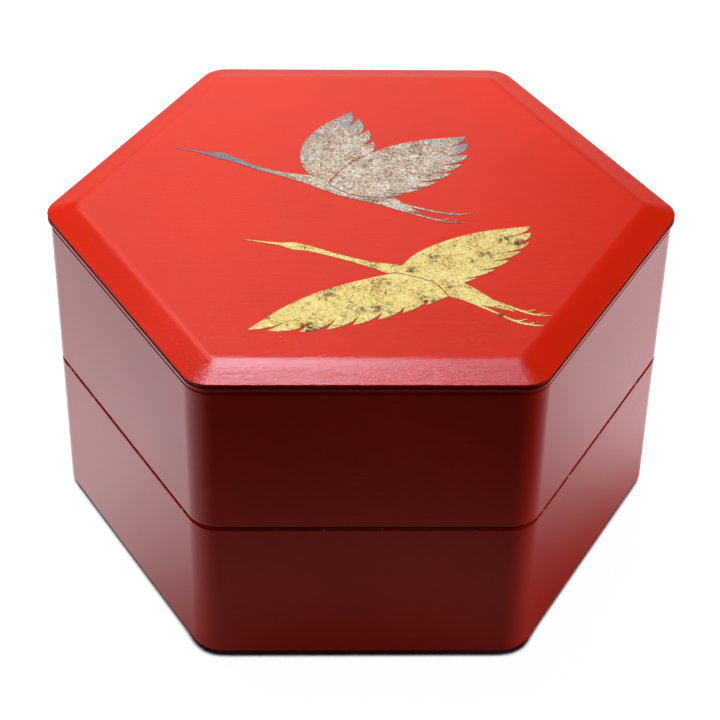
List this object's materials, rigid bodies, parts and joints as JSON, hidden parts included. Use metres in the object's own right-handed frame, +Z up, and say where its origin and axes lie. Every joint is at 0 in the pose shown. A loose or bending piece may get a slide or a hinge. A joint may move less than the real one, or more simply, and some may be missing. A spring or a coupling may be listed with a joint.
{
  "type": "stacking lacquer box",
  "caption": "Two-tier hexagonal stacking box in red lacquered wood, with mitred walls, locating rails and a bevelled lid with silver and gold leaf cranes.",
  "frame": {"origin": "middle of the foot's underside, on the surface that the box stands on", "axes": "+Z up, +X through a corner to the right of the front, -Y out of the front wall"},
  "size_m": [0.217, 0.1906, 0.1236],
  "materials": {
    "lid_lacquer": "satin vermilion lacquer",
    "wall_lacquer": "satin vermilion lacquer",
    "inner_lacquer": "satin black lacquer",
    "key_wood": "bare wood, sealed under the lacquer",
    "silver_leaf": "aged silver leaf",
    "gold_leaf": "gold leaf with dark spots"
  },
  "bodies": {
    "lower_tier": {"lower_wall_back_right": "wall_lacquer", "lower_wall_back": "wall_lacquer", "lower_wall_back_left": "wall_lacquer", "lower_wall_front_left": "wall_lacquer", "lower_wall_front": "wall_lacquer", "lower_wall_front_right": "wall_lacquer", "lower_corner_keys": "key_wood", "lower_bottom_board": "inner_lacquer", "lower_foot_rails": "inner_lacquer"},
    "upper_tier": {"upper_wall_back_right": "wall_lacquer", "upper_wall_back": "wall_lacquer", "upper_wall_back_left": "wall_lacquer", "upper_wall_front_left": "wall_lacquer", "upper_wall_front": "wall_lacquer", "upper_wall_front_right": "wall_lacquer", "upper_corner_keys": "key_wood", "upper_bottom_board": "inner_lacquer", "upper_locating_rails": "inner_lacquer"},
    "lid": {"lid_board": "lid_lacquer", "lid_locating_rails": "inner_lacquer", "silver_crane_leaf": "silver_leaf", "gold_crane_leaf": "gold_leaf"}
  },
  "joints": [
    {"name": "upper_tier_lift", "type": "slide", "parent": "lower_tier", "child": "upper_tier", "axis": [0, 0, 1], "range_m": [0, 0.12]},
    {"name": "lid_lift", "type": "slide", "parent": "upper_tier", "child": "lid", "axis": [0, 0, 1], "range_m": [0, 0.12]}
  ]
}
